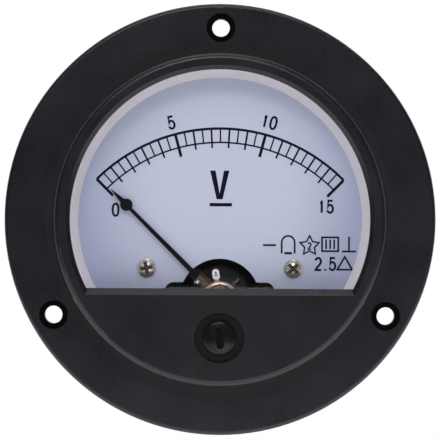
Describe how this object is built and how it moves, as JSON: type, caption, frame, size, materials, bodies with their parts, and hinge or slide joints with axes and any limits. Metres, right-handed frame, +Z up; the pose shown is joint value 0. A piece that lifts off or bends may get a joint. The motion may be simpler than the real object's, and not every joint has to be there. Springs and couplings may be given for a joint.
{
  "type": "analog panel meter",
  "caption": "Round flush-mounting moving-coil voltmeter for a panel, with a quadrant dial, a zero adjuster, a drum case and threaded terminals.",
  "frame": {"origin": "centre of the flange's back face, where it seats on the panel", "axes": "+Z up, the face looks along -Y, +X to the right as seen from the front"},
  "size_m": [0.09, 0.0619, 0.09],
  "materials": {
    "case_black": "fine satin moulding, slightly dusty",
    "rear_black": "plain satin moulding",
    "frame_black": "matt moulding",
    "window": "clear, polished",
    "cream_ring": "matt cream",
    "dial_white": "matt pale blue-white lacquer",
    "print_ink": "matt screen print",
    "nickel_screw": "worn bright nickel",
    "steel_screw": "zinc plated",
    "adjuster_black": "glossy black",
    "spring_steel": "bright spring steel",
    "gilt_nickel": "bright, nickel over brass",
    "nickel_strip": "dull nickel",
    "brass_parts": "turned brass",
    "bronze_spring": "rolled phosphor bronze",
    "pointer_black": "matt black paint",
    "cross_grey": "bare stamping",
    "solder": "bright solder",
    "weight_grey": "tinned wire",
    "former_aluminium": "bright foil",
    "enamelled_copper": "varnished fine wire, red-brown",
    "magnet_grey": "ground alloy",
    "yoke_steel": "plated soft iron",
    "nickel_washer": "bright nickel",
    "tinned_brass": "tinned",
    "resistor_tan": "glazed tan coating",
    "wire_red": "soft insulation",
    "wire_black": "soft insulation"
  },
  "bodies": {
    "case": {"front_case": "case_black", "window_glass": "window", "dial_surround": "cream_ring", "dial_plate": "dial_white", "scale_print": "print_ink", "dial_screw_left": "nickel_screw", "dial_screw_right": "nickel_screw", "front_bridge": "nickel_strip", "front_bridge_screws": "nickel_screw", "front_jewel_screw": "brass_parts", "front_lock_nut": "brass_parts", "core_magnet": "magnet_grey", "core_keys": "brass_parts", "yoke_ring": "yoke_steel", "movement_frame": "frame_black", "frame_screws": "steel_screw", "rear_bridge": "nickel_strip", "rear_bridge_screws": "nickel_screw", "rear_spring_arm": "gilt_nickel", "rear_hairspring": "bronze_spring", "rear_jewel_screw": "brass_parts", "rear_lock_nut": "brass_parts", "rear_case": "rear_black", "case_screws": "steel_screw", "positive_stud": "brass_parts", "negative_stud": "brass_parts", "stud_washers": "nickel_washer", "stud_nuts": "brass_parts", "wire_washers": "nickel_washer", "spring_washers": "spring_steel", "wire_nuts": "brass_parts", "solder_lugs": "tinned_brass", "lug_nuts": "brass_parts", "series_resistor": "resistor_tan", "positive_lead": "wire_red", "negative_lead": "wire_black"},
    "pointer": {"pointer": "pointer_black", "pointer_cross": "cross_grey", "solder_bead": "solder", "balance_weights": "weight_grey", "front_pivot": "spring_steel", "rear_pivot": "spring_steel", "spring_collets": "brass_parts", "coil_former": "former_aluminium", "coil_winding": "enamelled_copper"},
    "zero_screw": {"zero_screw": "adjuster_black", "zero_clip": "spring_steel"},
    "zero_lever": {"zero_lever": "gilt_nickel", "front_hairspring": "bronze_spring"}
  },
  "joints": [
    {"name": "pointer_swing", "type": "hinge", "parent": "case", "child": "pointer", "pos_m": [0, 0, -0.0166], "axis": [0, 1, 0], "range_deg": [-4, 94], "stiffness_Nm_per_rad": 0.0002},
    {"name": "zero_adjust", "type": "hinge", "parent": "case", "child": "zero_screw", "pos_m": [0, 0, -0.02445], "axis": [0, 1, 0], "range_deg": [-60, 60]},
    {"name": "zero_lever_turn", "type": "hinge", "parent": "case", "child": "zero_lever", "pos_m": [0, 0, -0.0166], "axis": [0, 1, 0], "range_deg": [-6.5, 6.5]}
  ],
  "couplings": [
    {"joint": "zero_lever_turn", "follows": "zero_adjust", "ratio": 0.104}
  ]
}
